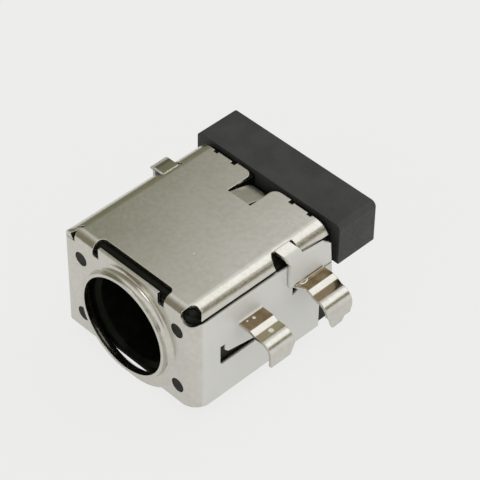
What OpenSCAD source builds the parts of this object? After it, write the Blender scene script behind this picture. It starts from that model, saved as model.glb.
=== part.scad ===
// DC power jack with a folded sheet shield, sunk into a cut-out of the board.
// Millimetres. The origin is on the bore's axis, at the outer face of the front plate.
// X runs to the right, Y into the jack and Z up.

/* [Sheet metal shield] */
// Thickness of the sheet
sheet_t = 0.2; // [0.15:0.05:0.3]
// Width over the two side plates
shell_w = 10.8; // [10.4:0.1:12]
// Height of the top plate's outer face above the bore's axis
top_h = 4.0; // [3.9:0.1:4.6]
// Depth of the side plates' lower edge below the bore's axis
skirt_h = 3.4; // [3.3:0.1:3.8]
// Depth of the top plate, front to rear
top_len = 10.7; // [10.5:0.05:12]
// How far the side plates stop short of the top plate's rear edge
side_short = 0.75; // [0.4:0.05:1.2]
// Outer radius of the bend at the right front corner
corner_r_right = 1.1; // [0.8:0.1:1.3]
// Outer radius of the bend at the left front corner
corner_r_left = 0.4; // [0.3:0.05:0.8]
// Outer radius of the long lips at the sides of the top plate
lip_r = 1.2; // [0.9:0.1:1.3]
// How far each lip turns down, in degrees
lip_turn = 60; // [45:5:65]
// Outer radius of the two strips that join the top plate to the front plate
front_bend_r = 0.6; // [0.4:0.05:0.8]
// Gap between a lip and the side plate below it
seam_gap = 0.12; // [0.05:0.01:0.3]

/* [Front plate] */
// Inner radius of the drawn collar
collar_r = 3.2; // [3.0:0.05:3.35]
// How far the collar stands out of the front plate
collar_out = 0.55; // [0.4:0.05:0.9]
// Radius of the fillet at the collar's foot
collar_fillet = 0.35; // [0.25:0.05:0.4]
// Radius of the round lobe that hangs below the front plate
lobe_r = 4.3; // [4.0:0.05:4.6]
// Distance between the post holes, left to right
post_pitch_x = 7.9; // [7.6:0.1:8.1]
// Distance between the post holes, top to bottom
post_pitch_z = 4.36; // [4:0.02:4.6]
// Half width of the tab between the two front reliefs
tab_half = 2.42; // [2:0.02:2.6]
// Width of each front relief
relief_w = 0.5; // [0.3:0.05:0.6]
// Depth of each front relief below the top plate
relief_d = 0.82; // [0.6:0.02:1]
// Rear edge of the long slot in the top plate, from the front
slot_len = 0.87; // [0.7:0.01:1.1]

/* [Latch tongue] */
// Half width of the bent tongue at the top plate's rear edge
tongue_half = 0.75; // [0.6:0.05:0.9]
// Length of the tongue from its root to its tip
tongue_len = 1.7; // [1.4:0.05:2]
// Width of the slit on each side of the tongue
slit_w = 0.17; // [0.12:0.01:0.25]
// How far the tongue is bent down, in degrees
tongue_turn = 15; // [8:1:18]

/* [Solder feet] */
// Height of the board's top surface above the bore's axis
board_z = 1.2; // [1:0.05:1.4]
// How far the legs reach below the board's top surface
leg_len = 1.3; // [1.1:0.05:1.7]
// Front edge of the front feet
front_foot_y = 3.3; // [3:0.05:4]
// Width of the front feet
front_foot_w = 1.85; // [1.4:0.05:2]
// Front edge of the rear feet
rear_foot_y = 7.8; // [7.6:0.05:8]
// Width of the rear feet
rear_foot_w = 2.15; // [1.9:0.05:2.3]
// How far the right feet's outer faces stand out of the side plate
foot_out_right = 2.65; // [2.45:0.05:3]
// The same for the left feet, which are shorter
foot_out_left = 1.5; // [1.45:0.05:1.7]
// Length of the high part of each right foot, next to the shell
ledge_len = 0.95; // [0.8:0.05:1.15]
// Step between the high and the low part of a foot
joggle = 0.16; // [0.1:0.02:0.3]
// Outer radius of the bend between a right foot and its leg
foot_bend_r = 0.85; // [0.6:0.05:0.95]

/* [Rear flaps] */
// Gap between each rear flap and the side plate inside it
flap_gap = 0.05; // [0.03:0.01:0.2]
// Front edge of the strap that carries each flap
strap_y = 6.98; // [6.8:0.02:7.2]
// Width of that strap
strap_w = 1.16; // [1:0.02:1.3]
// How far the right flap's top edge lies below the top plate's outer face
flap_drop_right = 0.28; // [0.24:0.02:0.5]
// The same for the left flap, which is lower behind its strap
flap_drop_left = 1.3; // [1:0.1:1.5]
// Lower edge of the flap's rear part above the bore's axis
flap_bottom = 0.6; // [0.4:0.1:1]

/* [Housing] */
// Radius of the bore that the plug's sleeve enters
bore_r = 2.9; // [2.85:0.05:3]
// Thickness of the housing behind the bore
floor_t = 0.9; // [0.6:0.1:1.3]
// Clearance between the housing and the shield
housing_gap = 0.05; // [0.03:0.01:0.1]
// Radius of the posts that pass through the front plate
post_r = 0.43; // [0.35:0.01:0.45]
// Clearance round each post in its hole
post_gap = 0.04; // [0.02:0.01:0.08]

/* [Rear block] */
// How far the block's ends stand out past the side plates
block_over = 0.4; // [0.2:0.05:0.6]
// Depth of the block, front to rear
block_len = 3.0; // [2.6:0.1:3.4]
// How far the block's top stands above the top plate
block_rise = 0.1; // [0:0.05:0.4]
// Gap between the shield's rear edge and the block
block_gap = 0.25; // [0.15:0.01:0.4]
// Clearance between the block's key and the housing
key_gap = 0.05; // [0.03:0.01:0.1]

/* [Contacts] */
// Radius of the centre pin
pin_r = 1.25; // [1.2:0.05:1.25]
// Distance of the pin's tip behind the front plate
pin_tip = 2.3; // [2.1:0.1:3]
// Thickness of the stamped contacts
contact_t = 0.25; // [0.2:0.05:0.3]
// Width of each sleeve spring
spring_w = 1.6; // [1.2:0.1:1.8]
// Radius at which the springs' bows touch the plug's sleeve
spring_touch_r = 2.62; // [2.5:0.02:2.7]
// Width of the solder tails
tail_w = 0.9; // [0.7:0.1:1.1]
// How far the tails reach past the legs' ends
tail_out = 0.5; // [0.3:0.1:0.8]

/* [Hidden] */
$fn = 64;

// How far a cutter runs past the face that it cuts, and how far one solid of a piece runs into the next
past = 1;
lap = 0.3;
touch = 0.01;

// Inner faces of the sheet, and the rear end of the side plates
side_x = shell_w / 2;
inner_x = side_x - sheet_t;
side_len = top_len - side_short;

// Lips along the sides of the top plate: their arc's centre and lower end
lip_inset = 0.13;
lip_x = side_x - lip_inset - lip_r * sin(lip_turn);
lip_z = top_h - lip_r;
lip_low = lip_z + lip_r * cos(lip_turn) - sheet_t * cos(lip_turn);
side_top = lip_low - seam_gap;

// Height of the lobe's arc that the flat at its bottom takes off
lobe_flat = 0.04;

// Strips that join the top plate to the front plate
strip_over = 0.15;
strip_in = tab_half + relief_w;
strip_out = lip_x + strip_over;
slot_corner_r = 0.35;
relief_over = 0.05;
relief_len = slot_len + relief_over;

// Right front corner: the open relief's round end, and the round dip below it
relief_r = 0.3;
relief_slant = 0.3;
dip_r = 0.57;
dip_x = strip_out + 0.42;
dip_z = top_h - 0.43;

// Left front corner, closed by a bend of the top plate: its seam, its small hole and its relief's end
corner_seam = 0.05;
hole_w = 0.4;
hole_h = 0.62;
hole_side = 0.05;
pinhole_r = 0.08;
pinhole_y = 0.64;

// Notches at each side of the top plate, in front of and behind the straps
notch_in = 0.27;
notch_x = lip_x + notch_in;
notch_w_right = 0.6;
notch_w_left = 0.35;
notch_slant = 0.05;
slit_y = strap_y + strap_w;
rear_slit_w = 0.22;

// Root of the latch tongue, the radius of its tip's corners, and the lobes' corners beside it
tongue_setback = 0.35;
tongue_y = top_len - tongue_len - tongue_setback;
tongue_tip_r = 0.45;
lobe_corner_r = 0.5;

// Small notches in the rear edge, and the step outside the inner ones
edge_notches = [2.36, 3.8];
edge_notch_w = 0.34;
edge_notch_d = 0.17;
edge_step = 0.1;

// Feet: the low part lies on the board, and the leg reaches the board's far side
low_z = board_z + sheet_t;
ledge_z = low_z + joggle;
joggle_run = 0.4;
leg_end = board_z - leg_len;
root_r = 0.15;
ledge_len_left = 0.5;
foot_bend_left = 0.45;

// Front legs: the cut at the rear lower corner
front_leg_cut = 0.35;
front_leg_rise = 0.7;

// Rear feet: the flare of the ledge's front edge, the setback of the leg's rear edge and its long tip
flare = 0.15;
flare_len = 0.5;
rear_leg_set = 0.15;
rear_leg_rise = 0.65;
rear_leg_step = 0.2;
rear_tip_len = 0.35;
rear_tip_y = 0.45;
rear_tip_end = 1.2;
rear_tip_slant = 0.05;

// Flaps outside the side plates, hung from the straps
flap_x = side_x + flap_gap + sheet_t;
flap_fall = 0.2;
flap_corner_y = 0.75;
flap_corner_drop = 0.42;
flap_lean = 0.22;
flap_hem = 0.2;
flap_ease = 0.05;
strap_bend_r = 0.3;

// Window in each side plate: a slot whose upper edge falls to the rear, with a short upright leg
window_y = 1.95;
window_end = 4.9;
window_low = -0.9;
window_high = 0.55;
window_leg = 0.36;
window_front = -0.16;
window_rear = -0.6;
window_step = 0.25;
window_corner = 0.15;

// Opening below the right rear foot's root
opening_y = 0.15;
opening_z = 0.55;
opening_h = 0.65;
opening_w = 0.5;

// The bore's lead-in, the posts' ends below the plate's face, and the pocket for the latch tongue
lead_in = 0.3;
post_short = 0.04;
pocket_gap = 0.2;
pocket_floor = 0.12;

// The block behind the shield, and the housing's rear end in front of it
block_half = side_x + block_over;
block_top = top_h + block_rise;
block_y = top_len + block_gap;
block_end = block_y + block_len;
block_edge_r = 0.35;
housing_end = block_y - key_gap;
bore_len = housing_end - floor_t;
peg_r = 0.45;
peg_len = 0.8;
peg_inset = 1.2;
peg_x = side_x - peg_inset;
peg_z = 2.5;

// The centre pin's nose, its seat in the bore's floor and its riveted end
pin_nose = 0.35;
pin_seat_rim = 0.3;
pin_seat_r = pin_r + pin_seat_rim;
pin_seat_gap = 0.03;
rivet_r = 0.6;
rivet_head_r = 0.9;
rivet_head_t = 0.15;

// Contacts: how far behind the block's front face the tails go down, and their ends
tail_in = 1.3;
tail_y = block_y + tail_in;
tail_wide = 0.6;
tail_room = 0.15;
loop_top = 2.4;
tail_end = leg_end - tail_out;
bend_in = 0.15;
bend_r = contact_t + bend_in;
strip_gap = 0.02;
strip_low = -1.1;

// Sleeve springs: their plane, and the two ends of the bow
spring_wall = 0.25;
spring_x = bore_r + spring_wall;
spring_front = 3;
spring_short = 0.5;
spring_back = bore_len - spring_short;

// ---- Helpers

// Moves the jack back, so that the origin lies in the collar's mouth
module placed() translate([0, collar_out, 0]) children();

// Extrudes a drawing of the XZ plane along Y
module along_y(y0, y1) translate([0, y1, 0]) rotate([90, 0, 0]) linear_extrude(y1 - y0) children();

// Extrudes a drawing of the YZ plane along X
module along_x(x0, x1) translate([x0, 0, 0]) rotate([90, 0, 90]) linear_extrude(x1 - x0) children();

// The same on the left and on the right
module both_sides() {
    children();
    mirror([1, 0, 0]) children();
}

// A bend of the sheet, from angle a0 to a1 about the drawing's origin
module bend(r, t, a0, a1) {
    am = (a0 + a1) / 2;
    intersection() {
        difference() {
            circle(r);
            circle(r - t);
        }
        polygon([[0, 0], 2 * r * [cos(a0), sin(a0)], 2 * r * [cos(am), sin(am)], 2 * r * [cos(a1), sin(a1)]]);
    }
}

// A box given by its two opposite corners
module block(a, b) translate(a) cube(b - a);

// ---- Form under the shield's outer face, which the closed corner and the housing follow

// Section under the lips, set in from the outer face
module form_section(inset) {
    w = side_x - inset;
    h = top_h - inset;
    intersection() {
        translate([-w, -skirt_h]) square([2 * w, skirt_h + h]);
        union() {
            translate([-lip_x, -skirt_h]) square([2 * lip_x, skirt_h + h]);
            translate([-w, -skirt_h]) square([2 * w, skirt_h + lip_z]);
            both_sides() translate([lip_x, lip_z]) circle(lip_r - inset);
        }
    }
}

// Plan, with the corners that follow the shield's bends
module form_plan(inset, end) {
    w = side_x - inset;
    rr = corner_r_right - inset;
    rl = corner_r_left - inset;
    translate([-w + rl, inset]) square([2 * w - rl - rr, end - inset]);
    translate([-w, inset + rl]) square([2 * w - rr, end - inset - rl]);
    translate([-w, inset + rr]) square([2 * w, end - inset - rr]);
    translate([w - rr, inset + rr]) circle(rr);
    translate([-w + rl, inset + rl]) circle(rl);
}

// Side view, rounded under the strips of the front plate
module form_side(inset, end) {
    h = top_h - inset;
    r = front_bend_r - inset;
    translate([inset + r, -skirt_h - past]) square([end - inset - r, skirt_h + past + h]);
    translate([inset, -skirt_h - past]) square([end - inset, skirt_h + past + h - r]);
    translate([inset + r, h - r]) circle(r);
}

module shell_form(inset, end) intersection() {
    along_y(0, end) form_section(inset);
    translate([0, 0, -skirt_h - past]) linear_extrude(skirt_h + top_h + 2 * past) form_plan(inset, end + past);
    along_x(-side_x, side_x) form_side(inset, end + past);
}

// ---- Shield shell: one sheet, cut, drawn and folded

// Section of the top plate with its two lips
module top_section() {
    translate([-lip_x, top_h - sheet_t]) square([2 * lip_x, sheet_t]);
    both_sides() translate([lip_x, lip_z]) bend(lip_r, sheet_t, 90 - lip_turn, 90);
}

// Plan of the front plate and the two side plates
module wall_plan() {
    rr = corner_r_right;
    rl = corner_r_left;
    translate([-side_x + rl, 0]) square([2 * side_x - rl - rr, sheet_t]);
    translate([side_x - rr, rr]) bend(rr, sheet_t, -90, 0);
    translate([-side_x + rl, rl]) bend(rl, sheet_t, 180, 270);
    translate([side_x - sheet_t, rr]) square([sheet_t, side_len - rr]);
    translate([-side_x, rl]) square([sheet_t, side_len - rl]);
}

// Long slot behind the front tab, with round rear corners
module front_slot() translate([0, 0, lip_z]) linear_extrude(lip_r + past) {
    r = slot_corner_r;
    translate([-strip_in + r, -past]) square([2 * (strip_in - r), slot_len + past]);
    translate([-strip_in, -past]) square([2 * strip_in, slot_len - r + past]);
    both_sides() translate([strip_in - r, slot_len - r]) circle(r);
}

// Notch in front of a strap, open to the side and slanted inwards
module strap_notch(w) translate([0, 0, lip_low - past]) linear_extrude(top_h - lip_low + 2 * past)
    polygon([[notch_x, strap_y], [notch_x, strap_y - 0.4 * w], [notch_x + 0.4 * w, strap_y - 0.75 * w],
             [notch_x + w, strap_y - w], [side_x + past, strap_y - w - notch_slant], [side_x + past, strap_y]]);

// Open relief of the right front corner, with a round inner corner and a slanted end at the lip
module right_relief() translate([0, 0, lip_low - past]) linear_extrude(top_h - lip_low + 2 * past) {
    polygon([[strip_out + relief_r, -past], [side_x + past, -past], [side_x + past, relief_len - relief_slant],
             [side_x - lip_inset, relief_len - relief_slant], [strip_out + 2 * relief_r, relief_len],
             [strip_out + relief_r, relief_len]]);
    translate([strip_out, -past]) square([relief_r, relief_len - relief_r + past]);
    translate([strip_out + relief_r, relief_len - relief_r]) circle(relief_r);
}

// Three-cornered hole in the closed left corner, and the pinholes where its relief and the left slit end
module left_holes() {
    x = -strip_out - hole_side;
    along_y(-past, pinhole_y)
        polygon([[x, lip_low], [x, lip_low + hole_h], [x - hole_w, lip_low + hole_h / 2], [x - hole_w / 3, lip_low]]);
    for (p = [[x, pinhole_y], [-notch_x, slit_y + rear_slit_w]])
        translate([p[0], p[1], lip_z]) cylinder(r = pinhole_r, h = lip_r + past);
}

// Round corner of the lobe beside the tongue
module lobe_corner() {
    c = tongue_half + slit_w + lobe_corner_r;
    translate([0, 0, lip_z]) linear_extrude(lip_r + past) difference() {
        translate([c - lobe_corner_r, top_len - lobe_corner_r]) square([lobe_corner_r, lobe_corner_r + past]);
        translate([c, top_len - lobe_corner_r]) circle(lobe_corner_r);
    }
}

// What is cut from the top plate and its lips
module top_cuts() {
    z0 = lip_low - past;
    z1 = top_h + past;
    front_slot();
    right_relief();
    left_holes();
    // notches before and behind the straps, and the lips between them
    strap_notch(notch_w_right);
    mirror([1, 0, 0]) strap_notch(notch_w_left);
    both_sides() block([notch_x, strap_y - touch, z0], [side_x + past, slit_y + rear_slit_w, z1]);
    // room for the bent tongue, with the lobes' round corners beside it
    block([-tongue_half - slit_w, tongue_y, lip_z], [tongue_half + slit_w, top_len + past, z1]);
    both_sides() lobe_corner();
    // rear edge
    both_sides() for (x = edge_notches)
        block([x - edge_notch_w / 2, top_len - edge_notch_d - edge_step, lip_z],
              [x + edge_notch_w / 2, top_len + past, z1]);
    both_sides() block([edge_notches[0], top_len - edge_step, z0], [side_x + past, top_len + past, z1]);
}

// The latch tongue, bent down into the housing's pocket
module tongue() {
    tip = tongue_tip_r;
    root = 0.03;
    translate([0, tongue_y, top_h - sheet_t / 2]) rotate([-tongue_turn, 0, 0]) translate([0, 0, -sheet_t / 2])
        linear_extrude(sheet_t) {
            translate([-tongue_half, -root]) square([2 * tongue_half, tongue_len - tip + root]);
            translate([-tongue_half + tip, 0]) square([2 * (tongue_half - tip), tongue_len]);
            both_sides() translate([tongue_half - tip, tongue_len - tip]) circle(tip);
        }
}

// Right strip between the top plate and the front plate
module right_strip() along_x(strip_in, strip_out)
    translate([front_bend_r, top_h - front_bend_r]) bend(front_bend_r, sheet_t, 90, 180);

// Left strip, which runs on to the side and closes the corner above the front plate
module left_corner() intersection() {
    difference() {
        shell_form(0, front_bend_r);
        shell_form(sheet_t, front_bend_r + past);
    }
    block([-side_x, -past, lip_low], [-strip_in, front_bend_r, top_h + past]);
}

// The front plate above the side plates' height, with the tab and the left corner up to its seam
module front_top() {
    z0 = side_top - lap;
    along_y(0, sheet_t) {
        translate([-tab_half, z0]) square([2 * tab_half, top_h - z0]);
        both_sides() translate([strip_in, z0]) square([strip_out - strip_in, top_h - front_bend_r - z0]);
    }
    intersection() {
        translate([0, 0, z0]) linear_extrude(lip_low - corner_seam - z0) wall_plan();
        block([-side_x, 0, z0], [-strip_out, corner_r_left, top_h]);
    }
}

// The four places where the housing's posts pass through the front plate, with Z along the post
module at_posts() for (x = [-1, 1], z = [-1, 1])
    translate([x * post_pitch_x / 2, 0, z * post_pitch_z / 2]) rotate([-90, 0, 0]) children();

// What is cut from the front plate: the reliefs, the corner's dip, the post holes and the collar's room
module front_cuts() {
    rz = top_h - relief_d;
    along_y(-past, corner_r_right) translate([dip_x, dip_z]) circle(dip_r);
    both_sides() along_y(-past, sheet_t + past) {
        translate([tab_half + relief_w / 2, rz + relief_w / 2]) circle(relief_w / 2);
        translate([tab_half, rz + relief_w / 2]) square([relief_w, relief_d + past]);
    }
    at_posts() translate([0, 0, -past]) cylinder(r = post_r + post_gap, h = sheet_t + 2 * past);
    rotate([90, 0, 0]) translate([0, 0, -past]) cylinder(r = collar_r + sheet_t + collar_fillet, h = 2 * past);
}

// Round lobe of the front plate, which hangs below the side plates, with a narrow flat at the bottom
module lobe() along_y(0, sheet_t) intersection() {
    circle(lobe_r);
    translate([-lobe_r, lobe_flat - lobe_r]) square([2 * lobe_r, lobe_r]);
}

// The drawn collar round the mouth
module collar() {
    rc = collar_r + sheet_t + collar_fillet;
    rotate([90, 0, 0]) rotate_extrude($fn = 128) {
        translate([collar_r, collar_fillet]) square([sheet_t, collar_out - collar_fillet]);
        translate([rc, collar_fillet]) bend(collar_fillet + sheet_t, sheet_t, 180, 270);
    }
}

// Section of a foot: ledge, step, low part on the board, bend and leg
module foot_section(root_x, ledge, reach, r) {
    x1 = side_x + ledge;
    x2 = x1 + joggle_run;
    translate([root_x + root_r, ledge_z + root_r]) bend(root_r + sheet_t, sheet_t, 180, 270);
    translate([root_x + root_r, ledge_z - sheet_t]) square([x1 - root_x - root_r, sheet_t]);
    polygon([[x1, ledge_z], [x2, low_z], [x2, board_z], [x1, ledge_z - sheet_t]]);
    translate([x2, board_z]) square([reach - r - x2, sheet_t]);
    translate([reach - r, low_z - r]) bend(r, sheet_t, 0, 90);
    translate([reach - sheet_t, leg_end - rear_tip_len]) square([sheet_t, low_z - r - leg_end + rear_tip_len]);
}

// Side view of a front foot, with the cut corner of its leg
module front_foot_side() {
    y0 = front_foot_y;
    y1 = y0 + front_foot_w;
    polygon([[y0, ledge_z + past], [y0, leg_end], [y1 - front_leg_cut, leg_end],
             [y1, leg_end + front_leg_rise], [y1, ledge_z + past]]);
}

// Side view of a rear foot, whose leg has a long tip at the front
module rear_foot_side() {
    y0 = rear_foot_y;
    y1 = y0 + rear_foot_w - rear_leg_set;
    z = leg_end + rear_leg_rise;
    tip = leg_end - rear_tip_len;
    polygon([[y0 - flare, ledge_z + past], [y0 - flare, z], [y0, z], [y0 + rear_leg_step, z - rear_leg_step],
             [y0 + rear_tip_y, tip], [y0 + rear_tip_end, tip + rear_tip_slant],
             [y0 + rear_tip_end + rear_leg_step, leg_end], [y1 - rear_leg_set, leg_end],
             [y1, leg_end + rear_tip_y], [y1, z], [y1 + rear_leg_set, z], [y1 + rear_leg_set, ledge_z + past]]);
}

// Plan of a rear foot, whose ledge is flared at the front and wider than the leg
module rear_foot_plan(x2, x3, reach) {
    y0 = rear_foot_y;
    y1 = y0 + rear_foot_w;
    polygon([[inner_x, y0 - flare], [flap_x, y0 - flare], [flap_x + flare_len, y0 + flare], [x2, y0 + flare / 2],
             [x3, y0], [reach, y0], [reach, y1 - rear_leg_set], [x3, y1 - rear_leg_set], [x2, y1], [inner_x, y1]]);
}

// Front foot, standing out of the side plate, and rear foot, standing out of the flap
module feet(ledge, reach, r) {
    x2 = side_x + ledge + joggle_run;
    y1 = rear_foot_y + rear_foot_w;
    intersection() {
        along_y(front_foot_y, front_foot_y + front_foot_w) foot_section(side_x, ledge, reach, r);
        along_x(inner_x, reach) front_foot_side();
    }
    intersection() {
        along_y(rear_foot_y - flare, y1) foot_section(flap_x, ledge, reach, r);
        along_x(inner_x, reach) rear_foot_side();
        translate([0, 0, leg_end - past]) linear_extrude(ledge_z - leg_end + 2 * past)
            rear_foot_plan(x2, reach - r, reach);
    }
}

// Side view of the flap outside the side plate, below the strap's bend
module flap_side(top) {
    z0 = top_h - strap_bend_r;
    zf = ledge_z + root_r;
    rear = top_len - flap_ease;
    foot_end = rear_foot_y + rear_foot_w + flap_ease;
    low_top = top - flap_fall;
    polygon([[strap_y, z0], [slit_y, z0], [slit_y, top], [rear - flap_corner_y, low_top],
             [rear - flap_lean, low_top - flap_corner_drop], [rear, flap_bottom], [foot_end, flap_bottom],
             [foot_end, zf], [strap_y + flap_hem, zf], [strap_y + flap_hem, z0 - flap_hem]]);
}

// Strap from the top plate and the flap that it carries
module rear_flap(drop) {
    r = strap_bend_r;
    block([notch_x - touch, strap_y, top_h - sheet_t], [flap_x - r, slit_y, top_h]);
    along_y(strap_y, slit_y) translate([flap_x - r, top_h - r]) bend(r, sheet_t, 0, 90);
    along_x(flap_x - sheet_t, flap_x) flap_side(top_h - drop);
}

// Window in the side plate
module window_cut() along_x(inner_x - past, side_x + past)
    polygon([[window_y, window_high], [window_y, window_low + window_corner], [window_y + window_corner, window_low],
             [window_end, window_low], [window_end, window_rear], [window_y + window_leg + window_step, window_front],
             [window_y + window_leg, window_front + window_step], [window_y + window_leg, window_high]]);

// Small three-cornered opening in the right side plate, below the rear foot's root
module foot_opening() along_x(inner_x, side_x + past) translate([rear_foot_y - opening_y, board_z - opening_z])
    polygon([[0, 0], [0, opening_h], [opening_w, opening_h / 4]]);

module shield_shell() color("silver") placed() {
    difference() {
        union() {
            along_y(front_bend_r, top_len) top_section();
            left_corner();
        }
        top_cuts();
    }
    tongue();
    difference() {
        union() {
            right_strip();
            translate([0, 0, -skirt_h]) linear_extrude(skirt_h + side_top) wall_plan();
            lobe();
            front_top();
        }
        front_cuts();
        both_sides() window_cut();
        foot_opening();
    }
    collar();
    feet(ledge_len, side_x + foot_out_right, foot_bend_r);
    rear_flap(flap_drop_right);
    mirror([1, 0, 0]) {
        feet(ledge_len_left, side_x + foot_out_left, foot_bend_left);
        rear_flap(flap_drop_left);
    }
}

// ---- Housing: one moulding with the bore, the posts and the contacts' chambers

// Chamber of a sleeve spring, open to the bore, with a slot to the rear
module spring_chamber() {
    h = spring_w / 2 + key_gap;
    x1 = spring_x + contact_t + key_gap;
    block([bore_r / 2, spring_front - lap, -h], [x1, bore_len, h]);
    block([spring_x - key_gap, bore_len - past, -h], [x1, housing_end + past, h]);
}

// Bore with a lead-in, and the pin's seat in its floor
module bore() rotate([-90, 0, 0]) {
    cylinder(r = bore_r, h = bore_len);
    translate([0, 0, sheet_t]) cylinder(r1 = bore_r + lead_in, r2 = bore_r, h = lead_in);
    cylinder(r = pin_seat_r + pin_seat_gap, h = housing_end + past);
}

// The two places of the rear block's pegs, with Z to the rear
module at_pegs(y) for (x = [-peg_x, peg_x])
    translate([x, y, peg_z]) rotate([-90, 0, 0]) children();

module housing() color([0.09, 0.09, 0.09]) placed() {
    difference() {
        shell_form(sheet_t + housing_gap, housing_end);
        bore();
        both_sides() spring_chamber();
        // pocket for the latch tongue
        block([-tongue_half - pocket_gap, tongue_y - pocket_gap, bore_r + pocket_floor],
              [tongue_half + pocket_gap, housing_end + past, top_h]);
        at_pegs(housing_end - peg_len - lap / 2) cylinder(r = peg_r + key_gap, h = peg_len + past);
    }
    // posts that hold the front plate
    at_posts() translate([0, 0, post_short]) cylinder(r = post_r, h = sheet_t + housing_gap + lap);
}

// ---- Rear block: moulded cap that stands on the board and guides the solder tails

// Slot for one solder tail, open to the front and below
module tail_pocket(x, w)
    block([x - w / 2, block_y - past, board_z - past],
          [x + w / 2, tail_y + tail_wide + tail_room, loop_top + key_gap]);

module rear_block() color([0.23, 0.24, 0.235]) placed() {
    r = block_edge_r;
    difference() {
        along_y(block_y, block_end) {
            translate([-block_half, board_z]) square([2 * block_half, block_top - r - board_z]);
            translate([-block_half + r, board_z]) square([2 * (block_half - r), block_top - board_z]);
            both_sides() translate([block_half - r, block_top - r]) circle(r);
        }
        tail_pocket(0, spring_w + 2 * key_gap);
        both_sides() tail_pocket(spring_x + contact_t / 2, contact_t + 2 * key_gap);
    }
    at_pegs(block_y - peg_len) cylinder(r = peg_r, h = peg_len + lap);
}

// ---- Contacts

// Turned pin with a chamfered nose, a seat in the bore's floor and a riveted end
module centre_pin() color([0.78, 0.76, 0.70]) placed() rotate([-90, 0, 0]) {
    head = housing_end + contact_t + 2 * strip_gap;
    translate([0, 0, pin_tip]) cylinder(r1 = pin_r - pin_nose, r2 = pin_r, h = pin_nose);
    translate([0, 0, pin_tip + pin_nose]) cylinder(r = pin_r, h = bore_len - pin_tip - pin_nose);
    translate([0, 0, bore_len]) cylinder(r = pin_seat_r, h = housing_end - bore_len);
    translate([0, 0, housing_end]) cylinder(r = rivet_r, h = head - housing_end);
    translate([0, 0, head]) cylinder(r = rivet_head_r, h = rivet_head_t);
}

// Stamped strip: up from the pin's rivet, over the board's edge and down through the board
module pin_terminal() color([0.80, 0.78, 0.72]) placed() {
    y0 = housing_end + strip_gap;
    y1 = tail_y + contact_t;
    r = bend_r;
    difference() {
        along_x(-spring_w / 2, spring_w / 2) {
            translate([y0, strip_low]) square([contact_t, loop_top - r - strip_low]);
            translate([y0 + r, loop_top - r]) bend(r, contact_t, 90, 180);
            translate([y0 + r, loop_top - contact_t]) square([y1 - y0 - 2 * r, contact_t]);
            translate([y1 - r, loop_top - r]) bend(r, contact_t, 0, 90);
            translate([tail_y, tail_end]) square([contact_t, loop_top - r - tail_end]);
        }
        rotate([-90, 0, 0]) cylinder(r = rivet_r + pin_seat_gap, h = housing_end + past);
        both_sides() block([tail_w / 2, tail_y - past, tail_end - past], [spring_w, y1 + past, board_z]);
    }
}

// Sleeve spring: a bow along the bore's side, and a hook blanked in its plane that ends in the solder tail
module sleeve_spring() {
    h = spring_w / 2;
    sag = spring_x - spring_touch_r;
    half = (spring_back - spring_front) / 2;
    r = (half * half + sag * sag) / (2 * sag);
    rise_y = housing_end + 2 * key_gap;
    tail_back = tail_y + tail_wide;
    translate([0, 0, -h]) linear_extrude(spring_w) {
        intersection() {
            translate([spring_touch_r + r, spring_front + half]) difference() {
                circle(r, $fn = 256);
                circle(r - contact_t, $fn = 256);
            }
            translate([0, spring_front]) square([spring_x + contact_t, 2 * half]);
        }
        translate([spring_x, spring_back - lap]) square([contact_t, rise_y + tail_w - spring_back + lap]);
    }
    along_x(spring_x, spring_x + contact_t) {
        translate([rise_y, -h]) square([tail_w, loop_top + h]);
        translate([rise_y, loop_top - tail_w]) square([tail_back - rise_y, tail_w]);
        translate([tail_back - tail_w, tail_end]) square([tail_w, loop_top - tail_end]);
    }
}

module sleeve_spring_right() color([0.72, 0.60, 0.36]) placed() sleeve_spring();
module sleeve_spring_left() color([0.72, 0.60, 0.36]) placed() mirror([1, 0, 0]) sleeve_spring();

shield_shell();
housing();
rear_block();
centre_pin();
pin_terminal();
sleeve_spring_left();
sleeve_spring_right();
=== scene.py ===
"""Looks of a board-mounted DC power jack: a folded nickel-plated shield round a black moulding.

The model's frame: metres, +X to the right of the mouth, +Y into the jack, +Z up, and the
origin in the middle of the collar's mouth.
"""
import math

import bpy
from mathutils import Matrix, Vector


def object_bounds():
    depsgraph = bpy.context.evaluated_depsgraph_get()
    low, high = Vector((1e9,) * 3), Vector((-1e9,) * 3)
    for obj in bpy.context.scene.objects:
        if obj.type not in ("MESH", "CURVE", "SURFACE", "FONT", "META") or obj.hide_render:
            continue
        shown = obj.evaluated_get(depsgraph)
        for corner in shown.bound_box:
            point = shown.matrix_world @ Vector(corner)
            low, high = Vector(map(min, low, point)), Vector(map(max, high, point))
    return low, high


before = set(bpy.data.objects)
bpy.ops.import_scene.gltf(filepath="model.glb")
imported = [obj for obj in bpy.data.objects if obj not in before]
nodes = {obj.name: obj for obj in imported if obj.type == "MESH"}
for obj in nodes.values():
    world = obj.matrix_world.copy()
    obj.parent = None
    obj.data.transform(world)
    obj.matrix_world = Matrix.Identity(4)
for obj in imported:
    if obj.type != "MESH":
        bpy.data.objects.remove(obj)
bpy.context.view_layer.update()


# ---- Housing
# One black moulding under the shield, with the bore, four posts that hold the front plate and
# a chamber for each spring. Glossy glass-filled nylon, with the faint ripple of a moulded skin.

MM = 0.001
BORE_WALL = (3.4 * MM, 3.5 * MM)


def new_material(name):
    """An empty node material with its Principled shader."""
    material = bpy.data.materials.new(name)
    material.use_nodes = True
    tree = material.node_tree
    return material, tree, tree.nodes["Principled BSDF"]


def add_node(tree, kind, values=(), **settings):
    """A node with its settings and its inputs' values, where a value may be another node's output."""
    node = tree.nodes.new(kind)
    for key, value in settings.items():
        setattr(node, key, value)
    for key, value in dict(values).items():
        if isinstance(value, bpy.types.NodeSocket):
            tree.links.new(value, node.inputs[key])
        else:
            node.inputs[key].default_value = value
    return node


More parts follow.
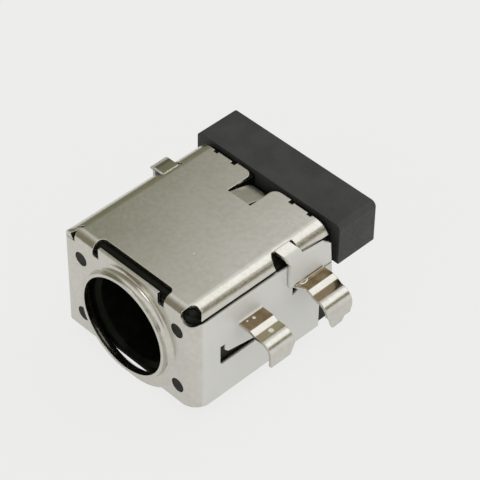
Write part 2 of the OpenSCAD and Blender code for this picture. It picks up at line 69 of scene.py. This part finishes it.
def object_place(tree):
    """The place on a piece in metres."""
    return tree.nodes.new("ShaderNodeTexCoord").outputs["Object"]


def axes_of(tree, place):
    """A place's X, Y and Z."""
    return add_node(tree, "ShaderNodeSeparateXYZ", {0: place}).outputs


def distance(tree, a, b):
    """How far two places are from each other."""
    return add_node(tree, "ShaderNodeVectorMath", {0: a, 1: b}, operation="DISTANCE").outputs["Value"]


def grain(tree, size, detail=2.0, stretch=(1, 1, 1)):
    """Noise on object coordinates, with grains of about the given size in metres."""
    turned = add_node(tree, "ShaderNodeMapping", {"Vector": object_place(tree), "Scale": stretch})
    noise = add_node(tree, "ShaderNodeTexNoise",
                     {"Vector": turned.outputs[0], "Scale": 1 / size, "Detail": detail})
    return noise.outputs["Fac"]


def between(tree, fac, low, high, start=0.3, end=0.7):
    """Maps a mask to a value from low to high."""
    return add_node(tree, "ShaderNodeMapRange",
                    {"Value": fac, "From Min": start, "From Max": end, "To Min": low, "To Max": high},
                    interpolation_type="SMOOTHSTEP").outputs[0]


def math_of(tree, operation, a, b=0.0):
    """One sum on two values or outputs."""
    return add_node(tree, "ShaderNodeMath", {0: a, 1: b}, operation=operation).outputs[0]


def times(tree, a, b):
    """The product of two values or masks."""
    return math_of(tree, "MULTIPLY", a, b)


def mix_colour(tree, fac, a, b):
    """A colour from a to b; each may be a colour or another node's output."""
    colours = [value if isinstance(value, bpy.types.NodeSocket) else (*value, 1) for value in (a, b)]
    return add_node(tree, "ShaderNodeMix", {0: fac, 6: colours[0], 7: colours[1]},
                    data_type="RGBA").outputs[2]


def rounded(tree, radius):
    """Normals that round each sharp edge to the given radius."""
    return add_node(tree, "ShaderNodeBevel", {"Radius": radius}, samples=6).outputs[0]


def bump(tree, height, depth, under):
    """Bump of the given depth in metres over other normals."""
    return add_node(tree, "ShaderNodeBump",
                    {"Height": height, "Distance": depth, "Normal": under}).outputs[0]


def feed(tree, shader, **outputs):
    """Links outputs to the shader's inputs, which are named with low lines for spaces."""
    for name, output in outputs.items():
        tree.links.new(output, shader.inputs[name.replace("_", " ")])


def finish_node(name, material):
    """Gives a CAD node its material in every slot."""
    for slot in nodes[name].material_slots:
        slot.material = material


black, tree, shader = new_material("black_moulding")
place = object_place(tree)
on_axis = add_node(tree, "ShaderNodeCombineXYZ", {1: axes_of(tree, place)["Y"]}).outputs[0]
skin = grain(tree, 0.6 * MM, detail=3)
gloss = between(tree, grain(tree, 0.25 * MM), 0.14, 0.3)
# The bore's wall is duller than the outside
wall = between(tree, distance(tree, place, on_axis), 1, 0, *BORE_WALL)
feed(tree, shader,
     Base_Color=mix_colour(tree, between(tree, skin, 0, 1), (0.004, 0.005, 0.003), (0.009, 0.010, 0.006)),
     Roughness=math_of(tree, "ADD", gloss, times(tree, wall, 0.14)),
     Specular_IOR_Level=between(tree, wall, 0.12, 0.05, 0, 1),
     Normal=bump(tree, skin, 0.004 * MM, rounded(tree, 0.05 * MM)))
finish_node("housing", black)


# ---- Centre pin
# Brass pin, turned and nickel-plated. It is riveted through the bore's floor and keeps the fine
# rings that the lathe leaves.

LATHE_RINGS = 4000.0

plated_pin, tree, shader = new_material("plated_pin")
rings = add_node(tree, "ShaderNodeTexWave",
                 {"Vector": object_place(tree), "Scale": LATHE_RINGS, "Distortion": 1.5, "Detail": 2.0},
                 bands_direction="Y")
shader.inputs["Metallic"].default_value = 1.0
shader.inputs["Base Color"].default_value = (0.66, 0.63, 0.56, 1)
feed(tree, shader,
     Roughness=between(tree, grain(tree, 0.4 * MM), 0.15, 0.3),
     Normal=bump(tree, rings.outputs["Fac"], 0.002 * MM, rounded(tree, 0.04 * MM)))
finish_node("centre_pin", plated_pin)


# ---- Contacts
# The pin's terminal and the two sleeve springs, stamped from copper alloy strip and tinned. The
# press leaves fine streaks along the strip.

tinned_strip, tree, shader = new_material("tinned_strip")
streaks = grain(tree, 0.15 * MM, detail=3, stretch=(1, 0.15, 1))
tint = between(tree, grain(tree, 1.2 * MM), 0, 1)
shader.inputs["Metallic"].default_value = 1.0
feed(tree, shader,
     Base_Color=mix_colour(tree, tint, (0.62, 0.52, 0.34), (0.66, 0.60, 0.46)),
     Roughness=between(tree, streaks, 0.22, 0.42),
     Normal=bump(tree, streaks, 0.003 * MM, rounded(tree, 0.03 * MM)))
for name in ("pin_terminal", "sleeve_spring_left", "sleeve_spring_right"):
    finish_node(name, tinned_strip)


# ---- Shield shell
# One sheet of steel, 0.2 mm thick, cut, drawn and folded round the housing, then nickel-plated.
# It is bright but slightly satin, with its sides painted lighter as painted light, painted highlights on
# the cut edges and dents, brown feet and faint marks from the press.

# Lines on the sheet, in millimetres: X counts from the middle to both sides
SIDE_FACE = 5.3
FOOT_ROOT = 5.46
FOOT_TOP = 1.8
LEDGE_X = (5.5, 6.36)
LEDGE_Z = (1.5, 1.62)
STEP_X = (6.74, 7.3)
STEP_Z = (1.34, 1.45)
BETWEEN_FEET = 7.5
# Bright spots painted as the glints of dents on the front foot: X, Y and radius in millimetres
DENT_GLINTS = ((5.75, 4.75, 0.1), (5.68, 4.3, 0.06), (7, 4.85, 0.16))
SPECK = (1.57, 4.18, 0.05)
SCRATCH_CENTRE = (5.4, 8.8)
SCRATCH_R = (0.36, 0.43)
# The press leaves the plates crowned across and hollow along, and bends the flaps' straps down:
# each is a height over the square of a distance, per metre. The feet's toes tip inwards by a slope
CROWN = 5.2
CROWN_END = 4.9
HOLLOW = 4.0
HOLLOW_MIDDLE = 6.5
TOE_START = 6.6
TOE_SLOPE = 0.14
STRAP_BEND = 300.0
STRAP_X = 4.3
STRAP_Y = (7.45, 8.75)
STRAP_Z = 3.65

nickel, tree, shader = new_material("nickel_plate")
place = object_place(tree)
x, y, z = axes_of(tree, place)
aside = math_of(tree, "ABSOLUTE", x)


def past(value, line, soft):
    """A mask on the sheet that goes from 0 to 1 as a value passes a line in millimetres."""
    return between(tree, value, 0, 1, (line - soft / 2) * MM, (line + soft / 2) * MM)


def inside(value, lines, soft):
    """A mask on the sheet that is 1 between two lines in millimetres."""
    return math_of(tree, "SUBTRACT", past(value, lines[0], soft), past(value, lines[1], soft))


def away_from(centre_x, centre_y):
    """The distance in plan from a place in millimetres."""
    centre = add_node(tree, "ShaderNodeCombineXYZ", {0: centre_x * MM, 1: centre_y * MM, 2: z}).outputs[0]
    return distance(tree, place, centre)


def beyond(value, line):
    """How far a value is past a line in millimetres, or 0 before it."""
    return math_of(tree, "MAXIMUM", math_of(tree, "SUBTRACT", value, line * MM), 0)


# Matte side plates and flaps, their colour painted lighter as painted light on the sides, and brown on the
# feet's ledges and steps beside them
foot = times(tree, past(aside, FOOT_ROOT, 0.02), past(z, FOOT_TOP, -0.1))
matte_and_painted_light = math_of(tree, "SUBTRACT", past(aside, SIDE_FACE, 0.1), foot)
ledge = times(tree, inside(aside, LEDGE_X, 0.06), inside(z, LEDGE_Z, 0.04))
step = times(tree, inside(aside, STEP_X, 0.1), inside(z, STEP_Z, 0.04))

# Painted highlights: bright colour on the cut edges and painted glints on the dents; bare bright metal in a
# curved scratch and in a speck on top
normals = rounded(tree, 0.07 * MM)
true_normal = tree.nodes.new("ShaderNodeNewGeometry").outputs["True Normal"]
flatness = add_node(tree, "ShaderNodeVectorMath", {0: normals, 1: true_normal}, operation="DOT_PRODUCT")
painted_glints_and_wear = between(tree, flatness.outputs["Value"], 0.7, 0, 0.8, 0.93)
for mark_x, mark_y, size in (*DENT_GLINTS, SPECK):
    painted_glints_and_wear = math_of(tree, "MAXIMUM", painted_glints_and_wear, past(away_from(mark_x, mark_y), size, -0.08))
scratch = times(tree, inside(away_from(*SCRATCH_CENTRE), SCRATCH_R, 0.04), ledge)
painted_glints_and_wear = math_of(tree, "MAXIMUM", painted_glints_and_wear, scratch)

# Colours: the plating, the matte sides painted lighter as painted light, the brown ledges and steps, and
# the painted highlights and bare metal
cloud = math_of(tree, "ADD", times(tree, grain(tree, 4 * MM), 0.5), times(tree, grain(tree, 0.3 * MM), 0.5))
blotch = between(tree, grain(tree, 0.5 * MM, detail=3), 0, 1)
rearwards = past(y, BETWEEN_FEET, 1)
colour = mix_colour(tree, between(tree, cloud, 0, 1), (0.635, 0.62, 0.56), (0.71, 0.695, 0.645))
# Painted light: the matte sides and flaps are painted a lighter colour, as if more brightly lit
colour = mix_colour(tree, matte_and_painted_light, colour, (0.84, 0.84, 0.815))
# The feet's ledges and steps are coloured brown, the rear step darker than the front
ledge_brown = mix_colour(tree, blotch, (0.25, 0.18, 0.10), (0.36, 0.29, 0.18))
colour = mix_colour(tree, ledge, colour, ledge_brown)
step_brown = mix_colour(tree, rearwards, (0.46, 0.41, 0.27), (0.38, 0.30, 0.19))
colour = mix_colour(tree, step, colour, step_brown)
# Painted highlights on the edges and dents, and bare metal in the scratch and the speck
colour = mix_colour(tree, painted_glints_and_wear, colour, (0.95, 0.93, 0.86))

# The form that the press leaves
satin = grain(tree, 0.12 * MM, detail=3)
across = math_of(tree, "MINIMUM", aside, CROWN_END * MM)
along = math_of(tree, "SUBTRACT", y, HOLLOW_MIDDLE * MM)
hollow = times(tree, times(tree, along, along), HOLLOW)
dish = math_of(tree, "SUBTRACT", hollow, times(tree, times(tree, across, across), CROWN))
toe = times(tree, beyond(aside, TOE_START), TOE_SLOPE)
plates = bump(tree, math_of(tree, "ADD", dish, toe), 1.0, normals)
shoulder = beyond(aside, STRAP_X)
bent = bump(tree, times(tree, times(tree, shoulder, shoulder), -STRAP_BEND), 1.0, plates)
strap = times(tree, inside(y, STRAP_Y, 0.02), past(z, STRAP_Z, 0.1))
sheet = add_node(tree, "ShaderNodeMix", {0: strap, 4: plates, 5: bent}, data_type="VECTOR").outputs[1]

dull = math_of(tree, "MAXIMUM", times(tree, matte_and_painted_light, 0.75), times(tree, painted_glints_and_wear, 0.7))
feed(tree, shader,
     Base_Color=colour,
     Metallic=math_of(tree, "SUBTRACT", 1.0, dull),
     Roughness=math_of(tree, "ADD", between(tree, satin, 0.16, 0.26), times(tree, matte_and_painted_light, 0.3)),
     Normal=bump(tree, satin, 0.0006 * MM, sheet))
finish_node("shield_shell", nickel)


# ---- Rear block
# A separate matte moulding behind the shield, wider than it. Dark grey plastic with the fine
# spark-eroded grain of its mould.

grey_plastic, tree, shader = new_material("rear_moulding")
spark = grain(tree, 0.08 * MM, detail=4)
shade = between(tree, grain(tree, 1.5 * MM), 0, 1)
feed(tree, shader,
     Base_Color=mix_colour(tree, shade, (0.036, 0.039, 0.038), (0.05, 0.053, 0.052)),
     Roughness=between(tree, spark, 0.5, 0.7),
     Normal=bump(tree, spark, 0.01 * MM, rounded(tree, 0.08 * MM)))
finish_node("rear_block", grey_plastic)


# ---- Studio
# A plain pale floor under the part, a soft tent of light round it and one round soft lamp. The
# floor is small, so that low reflections look past it at the tent.

FLOOR_SIZE = 160 * MM
PALE = (0.879, 0.879, 0.871)
# How much of the floor's brightness doesn't depend on the light: directly seen, and mirrored
SEEN_GLOW = 0.9
MIRRORED_GLOW = 0.65
TENT = (0.84, 0.84, 0.83)
# Soft patches of the tent: direction, the angles at which each fades in and is full, and colour
PATCHES = (
    ((-0.815, 0.515, 0.265), 42, 12, (0.22, 0.215, 0.14)),
    ((-0.521, -0.79, 0.31), 75, 15, (0.26, 0.235, 0.17)),
    ((0.595, 0.515, 0.616), 15, 4, (0.22, 0.18, 0.10)),
    ((0.03, -0.87, 0.47), 14, 6, (2.2, 2.15, 2.1)),
    ((0.52, -0.84, 0.05), 16, 6, (0.25, 0.17, 0.10)),
)
LAMP_WAY = Vector((0.12, 0.515, 0.849))
LAMP_DISTANCE = 0.45
LAMP_SIZE = 0.28
LAMP_POWER = 0.09
part_low, part_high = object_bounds()

bpy.ops.mesh.primitive_plane_add(size=FLOOR_SIZE, location=(0, 0, part_low.z))
floor = bpy.context.object
floor.name = "floor"
paper, tree, shader = new_material("paper")
shader.inputs["Base Color"].default_value = (0.78, 0.78, 0.77, 1)
shader.inputs["Roughness"].default_value = 1.0
shader.inputs["Specular IOR Level"].default_value = 0.0
ray = tree.nodes.new("ShaderNodeLightPath").outputs
glowing = math_of(tree, "ADD", times(tree, ray["Is Camera Ray"], SEEN_GLOW),
                  times(tree, ray["Is Glossy Ray"], MIRRORED_GLOW))
glow = add_node(tree, "ShaderNodeEmission", {"Color": (*PALE, 1)})
paper_mix = add_node(tree, "ShaderNodeMixShader", {0: glowing, 1: shader.outputs[0], 2: glow.outputs[0]})
tree.links.new(paper_mix.outputs[0], tree.nodes["Material Output"].inputs["Surface"])
floor.data.materials.append(paper)

world = bpy.data.worlds.new("tent")
bpy.context.scene.world = world
world.use_nodes = True
tree = world.node_tree
towards = tree.nodes.new("ShaderNodeTexCoord").outputs["Generated"]
colour = TENT
for direction, fade, full, tone in PATCHES:
    aim = add_node(tree, "ShaderNodeVectorMath", {0: towards, 1: Vector(direction).normalized()},
                   operation="DOT_PRODUCT").outputs["Value"]
    mask = between(tree, aim, 0, 1, math.cos(math.radians(fade)), math.cos(math.radians(full)))
    colour = mix_colour(tree, mask, colour, tone)
seen = tree.nodes.new("ShaderNodeLightPath").outputs["Is Camera Ray"]
tree.links.new(mix_colour(tree, seen, colour, PALE), tree.nodes["Background"].inputs["Color"])

lamp_data = bpy.data.lights.new("soft_lamp", "AREA")
lamp_data.shape = "DISK"
lamp_data.size = LAMP_SIZE
lamp_data.energy = LAMP_POWER
lamp = bpy.data.objects.new("soft_lamp", lamp_data)
lamp.location = (part_low + part_high) / 2 + LAMP_DISTANCE * LAMP_WAY
lamp.rotation_euler = LAMP_WAY.to_track_quat("Z", "Y").to_euler()
bpy.context.scene.collection.objects.link(lamp)


# ---- Camera
# It looks down on the top plate from the right front corner, with a long lens.

CAMERA_PLACE = (0.064589, -0.055556, 0.087082)
RIGHT = Vector((0.70239, 0.71173, 0.00956))
UP = Vector((-0.49370, 0.47746, 0.72684))
LENS = 161.84
NEAREST = 5 * MM

camera_data = bpy.data.cameras.new("camera")
camera_data.lens = LENS
camera_data.clip_start = NEAREST
camera = bpy.data.objects.new("camera", camera_data)
turn = Matrix((RIGHT, UP, RIGHT.cross(UP))).transposed()
camera.matrix_world = Matrix.Translation(CAMERA_PLACE) @ turn.to_4x4()
bpy.context.scene.collection.objects.link(camera)
bpy.context.scene.camera = camera
bpy.context.scene.view_settings.view_transform = "Standard"
